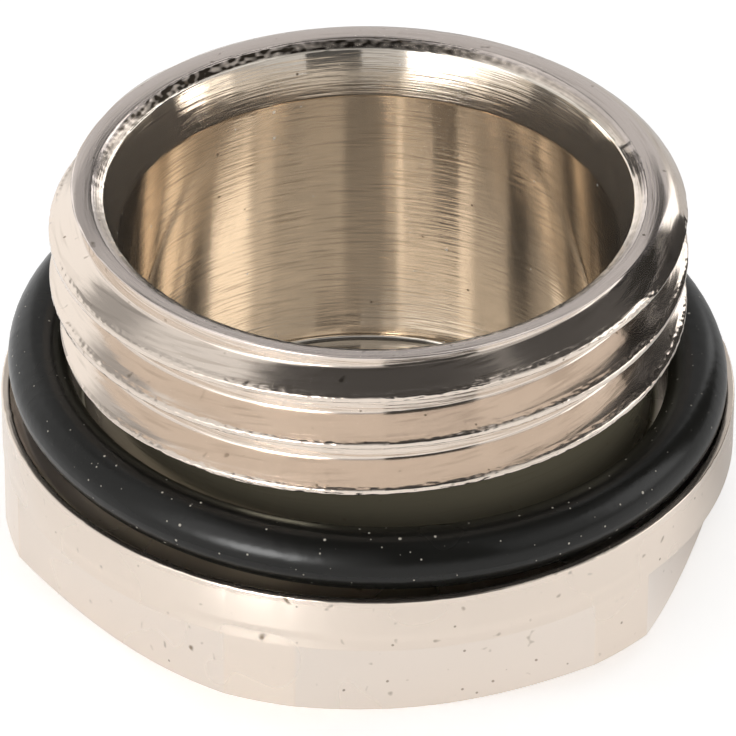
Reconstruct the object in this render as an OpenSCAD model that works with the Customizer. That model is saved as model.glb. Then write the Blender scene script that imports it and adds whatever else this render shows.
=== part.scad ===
// Radiator blanking plug: a turned, nickel-plated brass screw plug with a hollow
// threaded spigot and a hexagon head, sealed by a rubber ring under the thread.
// It stands on its head, as it would on a bench, with the mouth of the spigot up.

/* [Spigot] */
// Height of the whole plug, from the outer face of the head to the top of the rim
overall_h = 13.0; // [12:0.1:18]
// Diameter over the crests of the parallel pipe thread
thread_d = 20.955; // [20.6:0.005:21.6]
// Length of thread, from the rim down to the relief groove
thread_len = 4.68; // [3.6:0.02:4.8]
// Diameter of the neck in the relief groove under the thread
neck_d = 18.8; // [18.4:0.1:18.9]

/* [Thread form] */
// Distance from one turn of the thread to the next
pitch = 1.814; // [1.5:0.001:2.2]
// Depth of the thread from its crests to its root
thread_depth = 1.0; // [0.7:0.01:1.02]
// Width of the flat left on the crests
crest_flat = 0.17; // [0.1:0.01:0.35]
// Angle of each flank to a plane square to the axis
flank_angle = 27.5; // [25:0.5:30]
// Bearing of the point where the lower edge of a crest is measured
thread_bearing = -103.4; // [-180:0.1:180]
// Drop from the rim to the lower edge of the first crest at that bearing
first_crest_drop = 1.04; // [0.8:0.01:1.4]

/* [Rim] */
// Diameter of the mouth at the inner edge of the rim
mouth_d = 17.4; // [17:0.1:17.6]
// Diameter of the highest line of the crowned rim
rim_top_d = 18.24; // [18:0.02:18.6]
// Fall of the rim from its highest line in to the mouth
rim_fall = 0.08; // [0:0.01:0.15]
// Drop of the rounded lead-in, from the highest line out to the first full crest
lead_in_drop = 0.72; // [0.5:0.02:0.9]
// How late the lead-in turns down: a higher power keeps the rim flat for longer
lead_in_power = 3.2; // [2:0.1:4]

/* [Bore] */
// Diameter of the blind bore
bore_d = 16.4; // [15.6:0.1:16.6]
// Depth of the tapered mouth
taper_depth = 1.7; // [0.8:0.1:2.4]
// Depth of the bore from the rim to its floor
bore_depth = 11.7; // [9.5:0.1:12]
// Radius in the corner between the bore and its floor
bore_corner_r = 0.4; // [0.1:0.1:0.8]

/* [Head] */
// Diameter of the round collar, to which the hexagon's corners are turned
head_d = 24.3; // [24:0.1:26]
// Size across the flats of the hexagon
across_flats = 22.1; // [21:0.1:23]
// Height of the head, from its outer face to the edge that the ring seats in
head_h = 5.28; // [4.8:0.02:6]
// Height of the round collar above the flats
collar_h = 1.93; // [1.2:0.01:2.4]
// Diameter of the outer face inside the hexagon's chamfer
face_d = 21.6; // [20:0.1:21.8]
// Slope of the chamfer that rounds off the hexagon's corners
corner_chamfer_angle = 34; // [20:1:40]

/* [Seat] */
// Depth of the seat below the edge of the collar
seat_depth = 0.5; // [0.3:0.05:0.8]
// Width of the narrow lip that is left round the seat
lip_w = 0.28; // [0.1:0.02:0.4]
// Run of the sloped wall of the seat, measured outwards
seat_slope_w = 0.34; // [0.1:0.02:0.5]

/* [Seal ring] */
// Thickness of the rubber ring's round section
ring_section = 2.0; // [1.6:0.1:2.1]
// How far the ring's widest line stands out past the inner edge of the lip below it
ring_overhang = 0.03; // [0:0.01:0.1]
// Tilt of the ring, which rides up the neck on one side
ring_tilt = 2.0; // [0:0.1:2.2]
// Bearing of the side that rides up
ring_high_bearing = 166.6; // [-180:0.1:180]

/* [Hidden] */

// Steps of the thread's sweep in one turn, and faces round the turned surfaces
// and round the seal ring's section
sweep_steps = 64;
round_faces = 96;
section_faces = 20;

// How far cutters run past the metal that they cut
overrun = 0.6;

thread_r = thread_d / 2;
root_r = thread_r - thread_depth;
root_flat = pitch - crest_flat - 2 * thread_depth * tan(flank_angle);
// The thread's cutter runs past the crests by less than would make its turns meet
crest_overrun = crest_flat / (4 * tan(flank_angle));
neck_r = neck_d / 2;

rim_top_r = rim_top_d / 2;
rim_edge_z = overall_h - rim_fall;
relief_top_z = overall_h - thread_len;

bore_floor_z = overall_h - bore_depth;
taper_end_z = overall_h - rim_fall - taper_depth;

head_r = head_d / 2;
face_r = face_d / 2;
collar_z = head_h - collar_h;
corner_z = (head_r - face_r) * tan(corner_chamfer_angle);

seat_z = head_h - seat_depth;
seat_outer_r = head_r - lip_w;

ring_r = ring_section / 2;
ring_path_r = seat_outer_r + ring_overhang - ring_r;

// Rounded lead-in, as points from the first full crest up to the rim's highest line
function lead_in(steps) = [
    for (i = [steps : -1 : 0])
        let (share = i / steps)
        [rim_top_r + (thread_r - rim_top_r) * share,
         overall_h - lead_in_drop * pow(share, lead_in_power)]
];

// Outline of the turned plug, without its bore: radius and height of each corner
function turned_outline() = concat(
    [
        [0, 0],
        [face_r, 0],
        [head_r, corner_z],
        [head_r, head_h],
        [seat_outer_r, head_h],
        [seat_outer_r - seat_slope_w, seat_z],
        [neck_r, seat_z],
        [neck_r, relief_top_z],
        [thread_r, relief_top_z]
    ],
    lead_in(10),
    [[0, overall_h]]
);

// Quarter round between the bore's wall and its floor, as points from wall to floor
function bore_corner(steps) = [
    for (i = [0 : steps])
        let (turn = 90 * i / steps)
        [bore_d / 2 - bore_corner_r * (1 - cos(turn)),
         bore_floor_z + bore_corner_r * (1 - sin(turn))]
];

// Outline of what the bore takes away: inner slope of the rim, taper, bore and floor
function bore_outline() = concat(
    [
        [0, overall_h + overrun],
        [rim_top_r, overall_h + overrun],
        [rim_top_r, overall_h],
        [mouth_d / 2, rim_edge_z],
        [bore_d / 2, taper_end_z]
    ],
    bore_corner(6),
    [[0, bore_floor_z]]
);

// One ring of the thread cutter: the groove's section at a turn of the helix.
// The section has its root inside the plug and opens past the crests.
function groove_section(turn, centre_z) =
    let (
        mouth_r = thread_r + crest_overrun,
        root_half = root_flat / 2,
        mouth_half = root_half + (mouth_r - root_r) * tan(flank_angle)
    )
    [
        for (corner = [[root_r, root_half], [root_r, -root_half],
                       [mouth_r, -mouth_half], [mouth_r, mouth_half]])
            [corner[0] * cos(turn), corner[0] * sin(turn), centre_z + corner[1]]
    ];

// Right-hand helical cutter, from inside the relief groove up past the rim
module thread_cutter() {
    groove_half = (pitch - crest_flat) / 2;
    // The groove lies just below the lower edge of each crest
    groove_z = overall_h - first_crest_drop - groove_half;
    first_turn = -ceil((groove_z - (relief_top_z - pitch)) / pitch * sweep_steps);
    last_turn = ceil((overall_h + pitch - groove_z) / pitch * sweep_steps);
    count = last_turn - first_turn;
    sections = [
        for (i = [first_turn : last_turn])
            groove_section(thread_bearing + 360 * i / sweep_steps, groove_z + pitch * i / sweep_steps)
    ];
    points = [for (section = sections) each section];
    corners = len(sections[0]);
    sides = [
        for (i = [0 : count - 1], k = [0 : corners - 1])
            let (
                a = i * corners + k,
                b = i * corners + (k + 1) % corners,
                c = b + corners,
                d = a + corners
            )
            each [[a, b, c], [a, c, d]]
    ];
    ends = [
        [for (k = [corners - 1 : -1 : 0]) k],
        [for (k = [0 : corners - 1]) count * corners + k]
    ];
    polyhedron(points = points, faces = concat(sides, ends), convexity = 8);
}

// Hexagon prism that the lower part of the head is milled to
module hexagon_cut() {
    difference() {
        translate([0, 0, -overrun])
            cylinder(h = collar_z + overrun, r = head_r + overrun, $fn = round_faces);
        translate([0, 0, -2 * overrun])
            cylinder(h = collar_z + 4 * overrun, r = across_flats / 2 / cos(30), $fn = 6);
    }
}

// Turned and milled brass body, all one piece
module plug_body() {
    color([0.86, 0.82, 0.77])
        difference() {
            rotate_extrude($fn = round_faces)
                polygon(turned_outline());
            rotate_extrude($fn = round_faces)
                polygon(bore_outline());
            hexagon_cut();
            thread_cutter();
        }
}

// Rubber ring that rests in the seat and rides up the neck on one side
module o_ring() {
    lowest = ring_path_r * sin(ring_tilt) + ring_r;
    color([0.12, 0.12, 0.12])
        translate([0, 0, seat_z + lowest])
            rotate([0, 0, ring_high_bearing])
                rotate([0, -ring_tilt, 0])
                    rotate_extrude($fn = round_faces)
                        translate([ring_path_r, 0])
                            circle(r = ring_r, $fn = section_faces);
}

plug_body();
o_ring();
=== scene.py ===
import math

import bpy
import numpy as np
from mathutils import Matrix, Vector


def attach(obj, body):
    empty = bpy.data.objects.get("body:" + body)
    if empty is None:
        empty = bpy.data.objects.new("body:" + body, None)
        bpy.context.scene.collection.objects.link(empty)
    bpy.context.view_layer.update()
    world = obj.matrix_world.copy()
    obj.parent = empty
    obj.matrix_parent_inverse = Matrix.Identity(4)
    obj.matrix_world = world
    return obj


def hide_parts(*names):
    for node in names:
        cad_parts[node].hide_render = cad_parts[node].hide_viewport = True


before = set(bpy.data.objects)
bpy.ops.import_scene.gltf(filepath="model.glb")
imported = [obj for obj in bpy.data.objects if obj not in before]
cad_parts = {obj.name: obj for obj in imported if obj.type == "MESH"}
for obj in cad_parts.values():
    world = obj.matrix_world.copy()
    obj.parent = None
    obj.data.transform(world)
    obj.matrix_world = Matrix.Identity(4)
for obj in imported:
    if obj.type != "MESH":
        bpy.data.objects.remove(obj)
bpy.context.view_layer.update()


# Camera. A long lens looks down on the plug from in front, from the bearing at which
# one whole flat of the hexagon shows right of the middle. Lengths are in metres.
view_bearing = math.radians(-103.42)
view_rise = math.radians(34.34)
view_range = 0.2771
look_down = math.radians(35.53)
roll = -0.006
mouth_height = 0.01292
lens_pixels = 8495
picture_pixels = 736
film_width = 36
away = Vector((math.cos(view_bearing), math.sin(view_bearing), 0))
rightward = Vector((-away.y, away.x, 0))
forward = -away * math.cos(look_down) - Vector((0, 0, math.sin(look_down)))
upward = -away * math.sin(look_down) + Vector((0, 0, math.cos(look_down)))
camera_x = rightward * math.cos(roll) - upward * math.sin(roll)
camera_y = upward * math.cos(roll) + rightward * math.sin(roll)
stand = away * view_range * math.cos(view_rise)
stand += Vector((0, 0, mouth_height + view_range * math.sin(view_rise)))
long_lens = bpy.data.cameras.new("long_lens")
long_lens.sensor_width = film_width
long_lens.lens = lens_pixels / picture_pixels * film_width
long_lens.clip_start = 0.01
long_lens.clip_end = 10
camera = bpy.data.objects.new("camera", long_lens)
camera.matrix_world = Matrix((
    (camera_x.x, camera_y.x, -forward.x, stand.x),
    (camera_x.y, camera_y.y, -forward.y, stand.y),
    (camera_x.z, camera_y.z, -forward.z, stand.z),
    (0, 0, 0, 1),
))
bpy.context.scene.collection.objects.link(camera)
bpy.context.scene.camera = camera
bpy.context.scene.view_settings.view_transform = "Standard"


# Plug body. One piece of brass, turned from bar: head, seat, neck, spigot and blind bore.
# The thread is then cut with a single-point tool and the head milled to a hexagon, and the
# whole is nickel plated. It is drawn as a flat blank, which a node tree cuts and wraps.
mm = 0.001
plug_top = 13.0 * mm
crest_r = 10.4775 * mm
root_r = 9.4775 * mm
pitch = 1.814 * mm
crest_flat = 0.17 * mm
flank_slope = math.tan(math.radians(27.5))
groove_bearing = math.radians(-103.4)
first_crest_drop = 1.04 * mm
groove_z = plug_top - first_crest_drop - (pitch - crest_flat) / 2
nick_depth = 0.035 * mm
rim_top_r = 9.12 * mm
rim_edge_z = 12.92 * mm
lead_in_drop = 0.72 * mm
lead_in_power = 3.2
rim_inner_r = 9.08 * mm
slope_knee_r = 8.90 * mm
slope_knee_z = 12.90 * mm
mouth_r = 8.66 * mm
mouth_z = 12.78 * mm
bore_r = 8.2 * mm
taper_end_z = 11.22 * mm
bore_floor_z = 1.3 * mm
bore_corner = 0.4 * mm
neck_r = 9.4 * mm
relief_top_z = 8.24 * mm
head_h = 5.28 * mm
seat_z = 4.78 * mm
seat_foot_r = 11.53 * mm
lip_r = 11.87 * mm
head_r = 12.145 * mm
collar_z = 3.35 * mm
flat_r = 11.05 * mm
face_r = 10.8 * mm
corner_slope = math.tan(math.radians(34))


def rounded(corners):
    """Points along a profile given as (radius, height, fillet) corners."""
    points = []
    for i, (r, z, fillet) in enumerate(corners):
        here = np.array((r, z), float)
        if fillet == 0 or i in (0, len(corners) - 1):
            points.append(here)
            continue
        back = np.array(corners[i - 1][:2], float) - here
        on = np.array(corners[i + 1][:2], float) - here
        back_length, on_length = np.linalg.norm(back), np.linalg.norm(on)
        cut = min(fillet, back_length * 0.45, on_length * 0.45)
        first, last = here + back / back_length * cut, here + on / on_length * cut
        for t in (0, 0.25, 0.5, 0.75, 1):
            points.append((1 - t) ** 2 * first + 2 * t * (1 - t) * here + t ** 2 * last)
    return points


# Columns of the blank are a degree apart, and closer where the hexagon's flats meet its
# turned corners
angles = set(np.round(np.arange(0, 360, 1.0), 4))
edge_angle = math.degrees(math.acos(flat_r / head_r))
for flat in range(6):
    for side in (-1, 1):
        for nudge in (-0.5, -0.2, 0, 0.2, 0.5):
            angles.add(round((30 + 60 * flat + side * edge_angle + nudge) % 360, 4))
angles = sorted(angles)
least_gap = 0.12
kept = [angles[0]]
for angle in angles[1:]:
    if angle - kept[-1] > least_gap:
        kept.append(angle)
columns = np.array(kept + [kept[0] + 360]) / 360

# Rows of the blank as (radius, height, kind, wear). A chamfered or flat row's height is a
# share of the cut, and a threaded row's is a place along the helix.
turned_kind, chamfer_kind, flat_kind, thread_kind, ledge_kind = range(5)
rows = []
for r in (0, 2.5, 5, 7.5, 9.5, 10.5, 10.76):
    rows.append((r * mm, 0, turned_kind, 0))
for share in (0, 0.04, 0.2, 0.4, 0.6, 0.8, 0.93, 1):
    rows.append((face_r, share, chamfer_kind, 0))
for share in (0.015, 0.05, 0.15, 0.3, 0.45, 0.6, 0.75, 0.9, 0.97, 0.99, 1):
    rows.append((head_r, share, flat_kind, 0))
head_outline = rounded([
    (head_r - 0.045 * mm, collar_z, 0),
    (head_r, collar_z, 0.03 * mm),
    (head_r, 4.3 * mm, 0),
    (head_r, head_h, 0.07 * mm),
    (lip_r, head_h, 0.07 * mm),
    (seat_foot_r, seat_z, 0.1 * mm),
    (neck_r, seat_z, 0.15 * mm),
    (neck_r, 6.5 * mm, 0),
    (neck_r, relief_top_z, 0.1 * mm),
    (neck_r + 0.06 * mm, relief_top_z, 0),
])
for r, z in head_outline[1:]:
    kind = ledge_kind if z < collar_z + 0.05 * mm else turned_kind
    on_lip = z > head_h - 0.13 * mm and r > lip_r - 0.07 * mm
    rows.append((r, z, kind, 1 if on_lip else 0))
half_steps = (0, 0.10, 0.2, 0.26, 0.30, 0.34, 0.40, 0.48, 0.56, 0.64, 0.71, 0.76, 0.795, 0.822, 0.85, 0.88)
for lap in range(-3, 3):
    for s in sorted({-s for s in half_steps} | set(half_steps)):
        rows.append((crest_r, groove_z + s * mm + lap * pitch, thread_kind, 0))
crown = [
    (rim_top_r + (crest_r - rim_top_r) * share, plug_top - lead_in_drop * share ** lead_in_power, 0)
    for share in (0.503, 0.47, 0.43, 0.38, 0.32, 0.25, 0.17, 0.08, 0.02)
]
mouth_outline = rounded(crown + [
    (rim_inner_r, plug_top, 0.04 * mm),
    (slope_knee_r, slope_knee_z, 0),
    (mouth_r, mouth_z, 0.05 * mm),
    (bore_r, taper_end_z, 0.06 * mm),
    (bore_r, 11.1 * mm, 0),
    (bore_r, 6.5 * mm, 0),
    (bore_r, 1.85 * mm, 0),
    (bore_r, bore_floor_z, bore_corner),
    (7.7 * mm, bore_floor_z, 0),
    (4 * mm, bore_floor_z, 0),
    (0, bore_floor_z, 0),
])
for r, z in mouth_outline:
    on_rim = z > mouth_z - 0.01 * mm and mouth_r + 0.01 * mm < r < rim_inner_r + 0.02 * mm
    rows.append((r, z, turned_kind, 1 if on_rim else 0))

count, height = len(columns), len(rows)
points = np.zeros((count, height, 3))
radii = np.zeros((count, height))
kinds = np.zeros((count, height))
wear = np.zeros((count, height))
for j, (r, z, kind, edge_wear) in enumerate(rows):
    if kind == thread_kind:
        z = np.clip(z + pitch * (columns - groove_bearing / (2 * math.pi)), relief_top_z, rim_edge_z)
        fallen = np.clip((plug_top - z) / lead_in_drop, 0, 1) ** (1 / lead_in_power)
        r = rim_top_r + (crest_r - rim_top_r) * fallen
    points[:, j, 0] = columns
    points[:, j, 2] = z
    radii[:, j] = r
    kinds[:, j] = kind
    wear[:, j] = edge_wear
index = np.arange(count * height).reshape(count, height)
quads = np.stack([index[:-1, :-1], index[1:, :-1], index[1:, 1:], index[:-1, 1:]], axis=-1).reshape(-1, 4)
blank_mesh = bpy.data.meshes.new("plug_blank")
blank_mesh.from_pydata(points.reshape(-1, 3).tolist(), [], quads.tolist())
for name, values in (("blank_radius", radii), ("cut_kind", kinds), ("edge_wear", wear)):
    layer = blank_mesh.attributes.new(name, "FLOAT", "POINT")
    layer.data.foreach_set("value", values.reshape(-1).astype(np.float32))
plug_shell = bpy.data.objects.new("plug_shell", blank_mesh)
bpy.context.scene.collection.objects.link(plug_shell)


class Term:
    """A number at each point, worked out by a node tree."""

    def __init__(self, tree, socket):
        self.tree, self.socket = tree, socket

    def step(self, operation, *others):
        node = self.tree.nodes.new("ShaderNodeMath")
        node.operation = operation
        self.tree.links.new(self.socket, node.inputs[0])
        for place, other in enumerate(others, 1):
            if isinstance(other, Term):
                self.tree.links.new(other.socket, node.inputs[place])
            else:
                node.inputs[place].default_value = other
        return Term(self.tree, node.outputs[0])

    def __add__(self, other):
        return self.step("ADD", other)

    def __sub__(self, other):
        return self.step("SUBTRACT", other)

    def __rsub__(self, other):
        return self * -1 + other

    def __mul__(self, other):
        return self.step("MULTIPLY", other)

    def __truediv__(self, other):
        return self.step("DIVIDE", other)

    def held(self, low=0, high=1):
        """This number, held between low and high."""
        return self.step("MAXIMUM", low).step("MINIMUM", high)

    def pick(self, chosen, otherwise):
        """chosen where this is 1, otherwise where it is 0."""
        return self * chosen + (1 - self) * otherwise


nickel = bpy.data.materials.new("nickel_plate")
cutting = bpy.data.node_groups.new("turn_thread_and_mill", "GeometryNodeTree")
cutting.is_modifier = True
cutting.interface.new_socket("Blank", in_out="INPUT", socket_type="NodeSocketGeometry")
cut_sizes = {
    "Crest radius": crest_r, "Root radius": root_r, "Pitch": pitch, "Crest flat": crest_flat,
    "Flank slope": flank_slope, "Groove bearing": groove_bearing, "Groove height": groove_z,
    "Relief top": relief_top_z, "Head radius": head_r, "Flat radius": flat_r, "Face radius": face_r,
    "Collar height": collar_z, "Corner slope": corner_slope, "Nick depth": nick_depth,
}
sockets = {}
for name in cut_sizes:
    sockets[name] = cutting.interface.new_socket(name, in_out="INPUT", socket_type="NodeSocketFloat")
sockets["Finish"] = cutting.interface.new_socket("Finish", in_out="INPUT", socket_type="NodeSocketMaterial")
cutting.interface.new_socket("Plug", in_out="OUTPUT", socket_type="NodeSocketGeometry")
entry = cutting.nodes.new("NodeGroupInput")
given = {name: Term(cutting, entry.outputs[name]) for name in cut_sizes}


def stored(name):
    """A number that the blank carries at each of its points."""
    node = cutting.nodes.new("GeometryNodeInputNamedAttribute")
    node.data_type = "FLOAT"
    node.inputs["Name"].default_value = name
    return Term(cutting, node.outputs[0])


place = cutting.nodes.new("ShaderNodeSeparateXYZ")
cutting.links.new(cutting.nodes.new("GeometryNodeInputPosition").outputs[0], place.inputs[0])
turn = Term(cutting, place.outputs["X"]) * (2 * math.pi)
level = Term(cutting, place.outputs["Z"])
blank = stored("blank_radius")
cut_kind = stored("cut_kind")
worn = stored("edge_wear")
on_chamfer = cut_kind.step("COMPARE", chamfer_kind, 0.5)
on_flat = cut_kind.step("COMPARE", flat_kind, 0.5)
on_thread = cut_kind.step("COMPARE", thread_kind, 0.5)
on_ledge = cut_kind.step("COMPARE", ledge_kind, 0.5)

# The thread: how far a point lies from the middle of the groove, along the axis
climb = given["Pitch"] * (turn - given["Groove bearing"]) / (2 * math.pi)
from_groove = level - given["Groove height"] - climb
from_groove = from_groove.step("WRAP", given["Pitch"] * 0.5, given["Pitch"] * -0.5)
thread_depth = given["Crest radius"] - given["Root radius"]
half_root = (given["Pitch"] - given["Crest flat"]) * 0.5 - thread_depth * given["Flank slope"]
flank = given["Root radius"] + (from_groove.step("ABSOLUTE") - half_root) / given["Flank slope"]
thread = flank.step("SMOOTH_MAX", given["Root radius"], 0.12 * mm)
thread = thread.step("SMOOTH_MIN", given["Crest radius"], 0.07 * mm)
milled = on_chamfer.step("MAXIMUM", on_flat)
in_thread = (level.step("GREATER_THAN", given["Relief top"] - 0.001 * mm) - milled).step("MAXIMUM", 0)
turned = in_thread.pick(blank.step("SMOOTH_MIN", thread, 0.03 * mm), blank)

# The hexagon: flats square to the bearings -90, -30, 30 degrees and so on
off_flat = (turn - math.pi / 6).step("WRAP", math.pi / 6, -math.pi / 6)
hexagon = (given["Flat radius"] / off_flat.step("COSINE")).step("MINIMUM", given["Head radius"])
knee = (hexagon - given["Face radius"]) * given["Corner slope"]
chamfer_level = knee * level
flat_level = knee + (given["Collar height"] - knee) * level
final_level = on_chamfer.pick(chamfer_level, on_flat.pick(flat_level, level))
ledge = on_ledge.pick(turned.step("MAXIMUM", hexagon), turned)
chamfer_radius = given["Face radius"] + chamfer_level / given["Corner slope"]
final_radius = on_chamfer.pick(chamfer_radius, on_flat.pick(hexagon, ledge))

# Nicks along the crests and the rims, from handling
around = cutting.nodes.new("ShaderNodeCombineXYZ")
for socket, value in zip(around.inputs, (turn.step("COSINE"), turn.step("SINE"), final_level * 120)):
    cutting.links.new(value.socket, socket)
dents = cutting.nodes.new("ShaderNodeTexNoise")
dents.inputs["Scale"].default_value = 34
dents.inputs["Detail"].default_value = 3
cutting.links.new(around.outputs[0], dents.inputs["Vector"])
dent = (Term(cutting, dents.outputs[0]) - 0.52).step("MAXIMUM", 0) * 4
at_crest = ((thread - given["Root radius"]) / thread_depth - 0.8).step("MAXIMUM", 0) * 5
on_edge = (worn + at_crest * in_thread * on_thread).step("MINIMUM", 1)
final_radius = final_radius - dent * on_edge * given["Nick depth"]

wrapped = cutting.nodes.new("ShaderNodeCombineXYZ")
wrapped_place = (final_radius * turn.step("COSINE"), final_radius * turn.step("SINE"), final_level)
for socket, value in zip(wrapped.inputs, wrapped_place):
    cutting.links.new(value.socket, socket)
bend = cutting.nodes.new("GeometryNodeSetPosition")
weld = cutting.nodes.new("GeometryNodeMergeByDistance")
weld.inputs["Distance"].default_value = 0.0005 * mm
smooth = cutting.nodes.new("GeometryNodeSetShadeSmooth")
real = cutting.nodes.new("GeometryNodeRealizeInstances")
plate = cutting.nodes.new("GeometryNodeSetMaterial")
leave = cutting.nodes.new("NodeGroupOutput")
cutting.links.new(entry.outputs["Blank"], bend.inputs["Geometry"])
cutting.links.new(wrapped.outputs[0], bend.inputs["Position"])
cutting.links.new(bend.outputs[0], weld.inputs["Geometry"])
cutting.links.new(weld.outputs[0], smooth.inputs["Geometry"])
cutting.links.new(smooth.outputs[0], real.inputs["Geometry"])
cutting.links.new(real.outputs[0], plate.inputs["Geometry"])
cutting.links.new(entry.outputs["Finish"], plate.inputs["Material"])
cutting.links.new(plate.outputs[0], leave.inputs[0])
machine = plug_shell.modifiers.new("turn_thread_and_mill", "NODES")
machine.node_group = cutting
for name, value in cut_sizes.items():
    machine[sockets[name].identifier] = value
machine[sockets["Finish"].identifier] = nickel
finished = plug_shell.evaluated_get(bpy.context.evaluated_depsgraph_get())
plug_mesh = bpy.data.meshes.new_from_object(finished)
plug_shell.modifiers.clear()
plug_shell.data = plug_mesh
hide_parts("plug_body")
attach(plug_shell, "root")

# The plating: bright, brushed round the axis where it is turned, with a few pits and stains
plate_colour = (0.745, 0.65, 0.565)
bore_colour = (0.83, 0.755, 0.66)
crown_colour = (0.78, 0.69, 0.635)
flat_colour = (0.735, 0.655, 0.585)
# The relief under the thread is painted dark olive: painted shade and a painted reflection of the black
# ring
relief_shade_colour = (0.30, 0.27, 0.19)
# Near-black of the burr's spots: partly a rough edge, partly a painted dark reflection
burr_and_reflection_colour = (0.05, 0.04, 0.03)
mote_colour = (0.95, 0.92, 0.86)
dirt_colour = (0.22, 0.17, 0.12)
bump_depth = 0.009 * mm
nickel.use_nodes = True
skin = nickel.node_tree
metal = skin.nodes["Principled BSDF"]
where = skin.nodes.new("ShaderNodeTexCoord")
parts = skin.nodes.new("ShaderNodeSeparateXYZ")
skin.links.new(where.outputs["Object"], parts.inputs[0])
px, py, pz = (Term(skin, parts.outputs[i]) for i in range(3))
from_axis = (px * px + py * py).step("SQRT")
made_by = skin.nodes.new("ShaderNodeAttribute")
made_by.attribute_name = "cut_kind"
on_hexagon = Term(skin, made_by.outputs["Fac"]).step("COMPARE", flat_kind, 0.6)


def cloud(tree, terms, scale, detail):
    """Noise from 0 to 1 over three numbers."""
    vector = tree.nodes.new("ShaderNodeCombineXYZ")
    for socket, term in zip(vector.inputs, terms):
        tree.links.new(term.socket, socket)
    node = tree.nodes.new("ShaderNodeTexNoise")
    node.inputs["Scale"].default_value = scale
    node.inputs["Detail"].default_value = detail
    tree.links.new(vector.outputs[0], node.inputs["Vector"])
    return Term(tree, node.outputs[0])


def specks(tree, vector, scale, share, size):
    """1 in the middle of a few scattered round specks, 0 elsewhere."""
    cells = tree.nodes.new("ShaderNodeTexVoronoi")
    cells.inputs["Scale"].default_value = scale
    tree.links.new(vector, cells.inputs["Vector"])
    draw = tree.nodes.new("ShaderNodeSeparateColor")
    tree.links.new(cells.outputs["Color"], draw.inputs[0])
    chosen = Term(tree, draw.outputs[0]).step("LESS_THAN", share)
    reach = Term(tree, draw.outputs[1]) * (size * 0.7) + size * 0.3
    near = ((reach - Term(tree, cells.outputs["Distance"])) * (3 / size)).held()
    return near * chosen


def above(term, start, slope):
    """0 up to start, then rising to 1 at slope per metre."""
    return ((term - start) * slope).held()


def below(term, end, slope):
    """0 from end on, rising to 1 under it at slope per metre."""
    return ((end - term) * slope).held()


def brushing(round_axis, across_axis, offset=0):
    """Noise drawn out round the axis, as the lines that a lathe tool leaves."""
    return cloud(skin, (px * round_axis, py * round_axis, (pz + from_axis) * across_axis + offset), 1.0, 1)


# Where on the plug a point lies, each from 0 to 1
inside = below(from_axis, 8.8 * mm, 8000)
outside = 1 - inside
on_head = below(pz, 5.3 * mm, 4000) * outside
on_crown = above(pz, 12.9 * mm, 20000) * outside
in_taper = above(pz, 11.2 * mm, 9000) * inside
in_relief = below(from_axis, 9.75 * mm, 5000) * below(pz, 8.2 * mm, 6000) * outside
threads = above(pz, 8.3 * mm, 9000) * outside * (1 - on_crown)
crests = above(from_axis, 10.25 * mm, 9000) * above(pz, 8.2 * mm, 9000) * (1 - on_head)
on_flats = on_hexagon * from_axis.step("LESS_THAN", 12.12 * mm)

# The rough line on the rim's inner slope, strongest at the back and the left. Its roughness and knocks are
# real wear; the near-black spots laid on it are partly a painted dark reflection.
burr = (px * -60 + 0.75).held(0.15, 1) * (py * py * 18000).held(0.1, 1)
burr = burr * above(pz, 12.79 * mm, 30000) * below(from_axis, 9.03 * mm, 20000)

# Marks in the metal: tool lines, deeper scratches in places, knocks, pits and stuck motes
long_lines = brushing(70, 8000)
scratches = brushing(650, 11000)
patches = cloud(skin, (px, py, pz), 260, 1)
deep = ((brushing(520, 14000, 7) - 0.54) * 7).held()
deep = deep * (patches * 2.2 - 0.6).held() * (inside * 0.5 + 0.5) * (1 - on_head)
knocks = cloud(skin, (px * 4200, py * 4200, pz * 12000), 1.0, 0)
marks = ((cloud(skin, (px, py, pz), 2400, 1) - 0.72) * 7).step("MAXIMUM", 0)
pits = specks(skin, where.outputs["Object"], 2000, 0.26, 0.13)
motes = specks(skin, where.outputs["Object"], 2100, 0.22, 0.14) * inside

relief = long_lines * 0.4 + scratches * 0.6 - deep * 0.3
relief = relief * (on_head * -0.7 + 1) * (inside * -0.35 + 1) * (threads * 0.4 + 1)
relief = relief + knocks * (burr * 3 + crests * 2)
bump = skin.nodes.new("ShaderNodeBump")
bump.inputs["Distance"].default_value = bump_depth
bump.inputs["Strength"].default_value = 1
skin.links.new(relief.socket, bump.inputs["Height"])
skin.links.new(bump.outputs[0], metal.inputs["Normal"])
sweep = skin.nodes.new("ShaderNodeVectorMath")
sweep.operation = "CROSS_PRODUCT"
sweep.inputs[0].default_value = (0, 0, 1)
skin.links.new(where.outputs["Object"], sweep.inputs[1])
skin.links.new(sweep.outputs[0], metal.inputs["Tangent"])
metal.inputs["Anisotropic Rotation"].default_value = 0.25
skin.links.new((on_hexagon * -0.75 + 0.8).socket, metal.inputs["Anisotropic"])
rough = patches * 0.08 + burr * 0.2 + on_head * 0.14 + on_crown * 0.05 + inside * -0.05 + 0.10
skin.links.new(rough.socket, metal.inputs["Roughness"])
# In the relief under the thread the metal is half as metallic, so that its painted shade reads dark
bare = in_relief * -0.5 - motes * 0.8 - inside * 0.015 - in_taper * 0.04 + 0.975
skin.links.new(bare.socket, metal.inputs["Metallic"])


def blend(tree, share, first, second):
    """Colour that goes from first to second; each is a colour or the end of another blend."""
    node = tree.nodes.new("ShaderNodeMix")
    node.data_type = "RGBA"
    for name, colour in (("A", first), ("B", second)):
        if isinstance(colour, tuple):
            node.inputs[name].default_value = colour + (1,)
        else:
            tree.links.new(colour, node.inputs[name])
    tree.links.new(share.socket, node.inputs["Factor"])
    return node.outputs["Result"]


# Near-black spots along the burr: partly real rough edge, partly painted dark reflection
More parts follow.
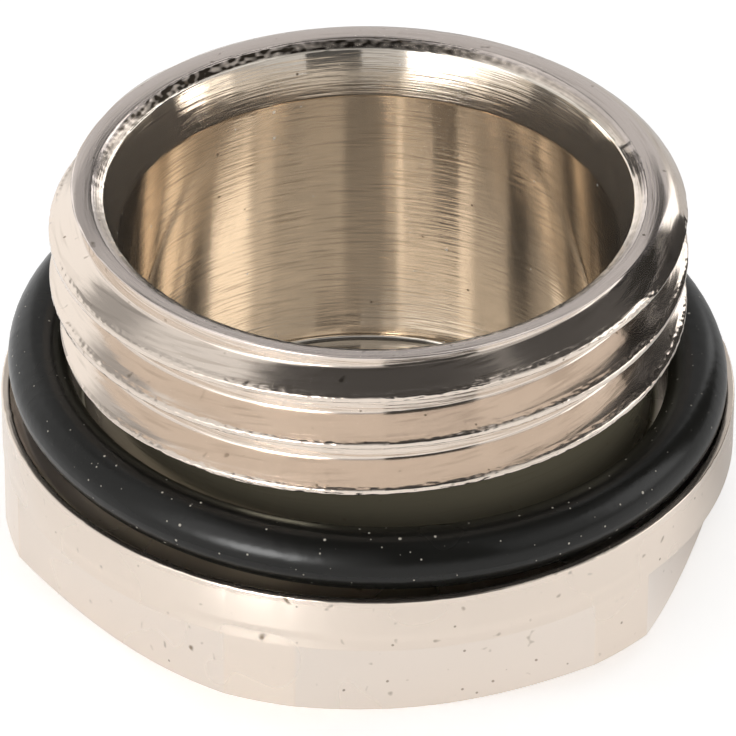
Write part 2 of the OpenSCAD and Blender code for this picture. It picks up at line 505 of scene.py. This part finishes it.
burr_and_reflection_spots = (burr * (knocks * 3.5 - 0.75)).held()
dirt = (pits * 0.75 + marks * outside + deep * (threads * 0.3 + 0.4)).held()
plated = blend(skin, inside, plate_colour, bore_colour)
plated = blend(skin, on_crown, plated, crown_colour)
# Painted shade and painted reflection of the ring: the relief under the thread is darkened
plated = blend(skin, in_relief, plated, relief_shade_colour)
plated = blend(skin, on_flats, plated, flat_colour)
plated = blend(skin, burr_and_reflection_spots, plated, burr_and_reflection_colour)
plated = blend(skin, motes, plated, mote_colour)
plated = blend(skin, dirt, plated, dirt_colour)
skin.links.new(plated, metal.inputs["Base Color"])


# Seal ring. Moulded black rubber, round in section, stretched over the thread and down to
# the seat in the head. It rides up the neck on one side and has picked up fine pale dust.
rubber_colour = (0.007, 0.007, 0.006)
dust_colour = (0.62, 0.58, 0.50)
rubber_bump = 0.01 * mm
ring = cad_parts["o_ring"]
rubber = bpy.data.materials.new("black_rubber")
rubber.use_nodes = True
hide = rubber.node_tree
gum = hide.nodes["Principled BSDF"]
spot = hide.nodes.new("ShaderNodeTexCoord")
axes = hide.nodes.new("ShaderNodeSeparateXYZ")
hide.links.new(spot.outputs["Object"], axes.inputs[0])
rx, ry, rz = (Term(hide, axes.outputs[i]) for i in range(3))
grain = cloud(hide, (rx, ry, rz), 2600, 3)
bloom = cloud(hide, (rx, ry, rz), 300, 2)
coarse_dust = specks(hide, spot.outputs["Object"], 1900, 0.60, 0.12)
fine_dust = specks(hide, spot.outputs["Object"], 3600, 0.40, 0.18)
dusty = (rx * -50 - ry * 60 + 0.6).held(0.5, 1)
dust = coarse_dust.step("MAXIMUM", fine_dust) * dusty
coat = blend(hide, (dust + bloom * 0.01).step("MINIMUM", 1), rubber_colour, dust_colour)
hide.links.new(coat, gum.inputs["Base Color"])
gum.inputs["Specular IOR Level"].default_value = 0.26
hide.links.new((bloom * 0.14 + 0.19).socket, gum.inputs["Roughness"])
rise = hide.nodes.new("ShaderNodeBump")
rise.inputs["Distance"].default_value = rubber_bump
hide.links.new((grain + dust * 3).socket, rise.inputs["Height"])
hide.links.new(rise.outputs[0], gum.inputs["Normal"])
ring.data.materials.clear()
ring.data.materials.append(rubber)


# Floor. A sheet of white paper that the plug stands on, and that keeps its soft shadow.
# Mirrored in the metal, it carries a painted shadow to the right of the plug and behind it, where its glow
# is turned down.
floor_reach = 2
paper_colour = (0.8, 0.8, 0.8, 1)
paper_glow = 0.45
floor_corners = [(-floor_reach, -floor_reach, 0), (floor_reach, -floor_reach, 0),
                 (floor_reach, floor_reach, 0), (-floor_reach, floor_reach, 0)]
floor_mesh = bpy.data.meshes.new("floor")
floor_mesh.from_pydata(floor_corners, [], [(0, 1, 2, 3)])
floor = bpy.data.objects.new("floor", floor_mesh)
bpy.context.scene.collection.objects.link(floor)
paper = bpy.data.materials.new("white_paper")
paper.use_nodes = True
paper.cycles.emission_sampling = "NONE"
floor_mesh.materials.append(paper)
sheet = paper.node_tree
sheet.nodes.clear()
out = sheet.nodes.new("ShaderNodeOutputMaterial")
mix = sheet.nodes.new("ShaderNodeAddShader")
dull = sheet.nodes.new("ShaderNodeBsdfDiffuse")
dull.inputs["Color"].default_value = paper_colour
glow = sheet.nodes.new("ShaderNodeEmission")
ray = sheet.nodes.new("ShaderNodeLightPath")
lie = sheet.nodes.new("ShaderNodeTexCoord")
spread = sheet.nodes.new("ShaderNodeSeparateXYZ")
sheet.links.new(lie.outputs["Object"], spread.inputs[0])
# Painted shadow: to mirrored rays the paper glows less to the right of the plug and behind it
to_right = above(Term(sheet, spread.outputs[0]), 4 * mm, 130)
to_back = above(Term(sheet, spread.outputs[1]), -9 * mm, 150)
in_mirror = Term(sheet, ray.outputs["Is Glossy Ray"]) * (to_right * to_back * -paper_glow + paper_glow)
seen = Term(sheet, ray.outputs["Is Camera Ray"]) * paper_glow + in_mirror
sheet.links.new(seen.socket, glow.inputs["Strength"])
sheet.links.new(dull.outputs[0], mix.inputs[0])
sheet.links.new(glow.outputs[0], mix.inputs[1])
sheet.links.new(mix.outputs[0], out.inputs["Surface"])


# Studio. White all round, and for mirrored rays the soft boxes, walls and dark flags that
# stand round the plug. Each has the azimuth of its middle, from straight behind the plug and
# to the right, its reach to either side, its lowest and highest elevation, and its brightness.
wall_brightness = 0.62
panels = {
    "left wall": (-112, 54, -20, 68, 0.95),
    "left soft box": (-139, 24, 0, 56, 2.0),
    "low left lamp": (-150, 12, 1, 21, 16.0),
    "back left wall": (-40, 19, -5, 36, 1.2),
    "back flag": (-6, 19, 42, 51, 0.03),
    "right soft box": (72, 45, 10, 41, 2.1),
    "right flag": (67, 29, 43, 70, 0.06),
    "low right wall": (117, 18, -5, 14, 0.5),
    "right wall": (119, 20, 14, 42, 0.95),
    "front right wall": (156, 15, 15, 50, 0.5),
    "front wall": (177, 37, 42, 58, 0.34),
    "high front flag": (177, 50, 59, 90, 0.02),
    "high left lamp": (-20, 11, 52, 76, 1.4),
    "high right lamp": (27, 13, 52, 76, 1.4),
    "ceiling": (0, 180, 70, 108, 0.06),
}
side_blur = 6
edge_blur = 4
studio = bpy.data.worlds.new("studio")
bpy.context.scene.world = studio
studio.use_nodes = True
studio.cycles.sampling_method = "NONE"
air = studio.node_tree
gaze = air.nodes.new("ShaderNodeTexCoord")


def along(direction):
    """How far a ray points along a direction, from -1 to 1."""
    dot = air.nodes.new("ShaderNodeVectorMath")
    dot.operation = "DOT_PRODUCT"
    dot.inputs[1].default_value = direction
    air.links.new(gaze.outputs["Generated"], dot.inputs[0])
    return Term(air, dot.outputs["Value"])


def within(term, middle, reach, blur):
    """1 within reach of the middle, in degrees, with a soft edge."""
    apart = (term - middle).step("WRAP", 180, -180).step("ABSOLUTE")
    return (apart * (-1 / blur) + (reach / blur + 0.5)).held()


azimuth = along(rightward).step("ARCTAN2", along(-away)) * (180 / math.pi)
elevation = along((0, 0, 1)).step("ARCSINE") * (180 / math.pi)
light = wall_brightness
for middle, reach, low, high, brightness in panels.values():
    panel = within(azimuth, middle, reach, side_blur)
    panel = panel * within(elevation, (low + high) / 2, (high - low) / 2, edge_blur)
    light = panel.pick(brightness, light)
rays = air.nodes.new("ShaderNodeLightPath")
mirrored = Term(air, rays.outputs["Is Glossy Ray"])
camera_ray = Term(air, rays.outputs["Is Camera Ray"])
sky = mirrored.pick(light, camera_ray * 0.2 + 0.8)
air.nodes["Background"].inputs["Color"].default_value = (1, 1, 1, 1)
air.links.new(sky.socket, air.nodes["Background"].inputs["Strength"])

# Small curved cards that stand close round the plug, seen by mirrored rays alone: first and
# last azimuth, lowest and highest edge in millimetres, and brightness
card_distance = 20
card_folds = 12
for name, first, last, low, high, brightness in (
        ("bore_flag", 34, 92, 21.5, 26.9, 0.0),
        ("right_flag", 64, 94, 8, 21.4, 0.04),
        ("side_flag", 93, 148, 20.5, 24.6, 0.3),
        ("front_flag", 149, 176, 8, 27, 0.05),
        ("far_flag", 177, 188, 20.5, 26.5, 0.35),
        ("back_bar", -29, 17, 22.5, 26.8, 0.02),
        ("left_bar", -100, -30, 22, 28, 0.42)):
    points, faces = [], []
    for fold in range(card_folds + 1):
        turned_by = math.radians(first + (last - first) * fold / card_folds)
        side = (-away * math.cos(turned_by) + rightward * math.sin(turned_by)) * card_distance * mm
        points += [(side.x, side.y, low * mm), (side.x, side.y, high * mm)]
        if fold:
            faces.append((2 * fold - 2, 2 * fold - 1, 2 * fold + 1, 2 * fold))
    card_mesh = bpy.data.meshes.new(name)
    card_mesh.from_pydata(points, [], faces)
    card = bpy.data.objects.new(name, card_mesh)
    bpy.context.scene.collection.objects.link(card)
    card.visible_camera = False
    card.visible_diffuse = False
    card.visible_shadow = False
    board = bpy.data.materials.new(name)
    board.use_nodes = True
    board.cycles.emission_sampling = "NONE"
    board.node_tree.nodes.clear()
    face = board.node_tree.nodes.new("ShaderNodeEmission")
    face.inputs["Strength"].default_value = brightness
    end = board.node_tree.nodes.new("ShaderNodeOutputMaterial")
    board.node_tree.links.new(face.outputs[0], end.inputs["Surface"])
    card_mesh.materials.append(board)
